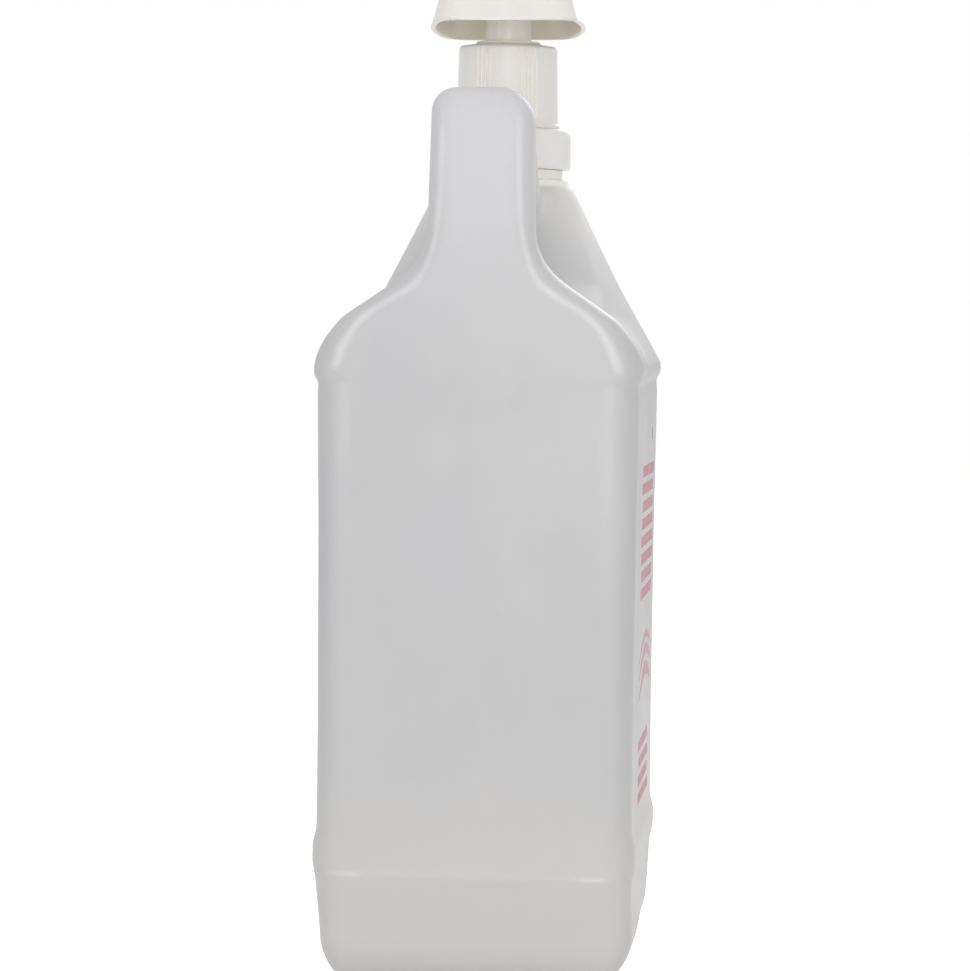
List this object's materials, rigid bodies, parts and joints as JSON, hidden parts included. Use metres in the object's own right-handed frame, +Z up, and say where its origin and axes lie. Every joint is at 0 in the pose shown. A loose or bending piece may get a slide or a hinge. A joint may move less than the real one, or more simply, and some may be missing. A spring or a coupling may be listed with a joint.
{
  "type": "pump bottle",
  "caption": "Blow-moulded jug with a loop handle at one end and a push-down pump dispenser screwed on its neck; the head presses, turns and the closure unscrews.",
  "frame": {"origin": "middle of the jug's body at the surface it stands on", "axes": "+Z up, +X from the handle end to the pump and spout end, -Y towards the printed side"},
  "size_m": [0.1887, 0.108, 0.3523],
  "materials": {
    "natural_polythene": "translucent natural, soft satin",
    "print_ink": "flat screen-print ink",
    "white_polypropylene": "satin moulded white",
    "seal_foam": "soft closed foam",
    "barrel_plastic": "natural, satin",
    "tube_plastic": "natural, translucent",
    "piston_plastic": "soft, satin",
    "spring_steel": "drawn wire",
    "ball_steel": "polished"
  },
  "bodies": {
    "bottle": {"bottle": "natural_polythene", "side_print": "print_ink"},
    "pump_unit": {"neck_gasket": "seal_foam", "pump_barrel": "barrel_plastic", "stem_guide": "barrel_plastic", "ribbed_collar": "white_polypropylene", "ball_cage": "barrel_plastic", "dip_tube": "tube_plastic", "spring": "spring_steel"},
    "closure": {"closure_ring": "white_polypropylene"},
    "piston": {"piston": "piston_plastic"},
    "head": {"pump_stem": "barrel_plastic", "pump_head": "white_polypropylene"},
    "inlet_ball": {"inlet_ball": "ball_steel"},
    "outlet_ball": {"outlet_ball": "ball_steel"}
  },
  "joints": [
    {"name": "pump_lift", "type": "slide", "parent": "bottle", "child": "pump_unit", "axis": [0, 0, 1], "range_m": [0, 0.00529]},
    {"name": "closure_turn", "type": "hinge", "parent": "pump_unit", "child": "closure", "pos_m": [0.037, 0, 0.282], "axis": [0, 0, 1], "range_deg": [0, 450]},
    {"name": "press", "type": "slide", "parent": "pump_unit", "child": "piston", "axis": [0, 0, -1], "range_m": [0, 0.0195], "stiffness_N_per_m": 400, "springref_m": -0.01, "deforming": ["spring"]},
    {"name": "head_turn", "type": "hinge", "parent": "piston", "child": "head", "pos_m": [0.037, 0, 0.33], "axis": [0, 0, 1], "continuous": true},
    {"name": "inlet_ball_lift", "type": "slide", "parent": "pump_unit", "child": "inlet_ball", "axis": [0, 0, 1], "range_m": [0, 0.002]},
    {"name": "outlet_ball_lift", "type": "slide", "parent": "head", "child": "outlet_ball", "axis": [0, 0, 1], "range_m": [0, 0.002]}
  ],
  "couplings": [
    {"joint": "closure_turn", "follows": "pump_lift", "rad_per_m": 1485.4}
  ]
}
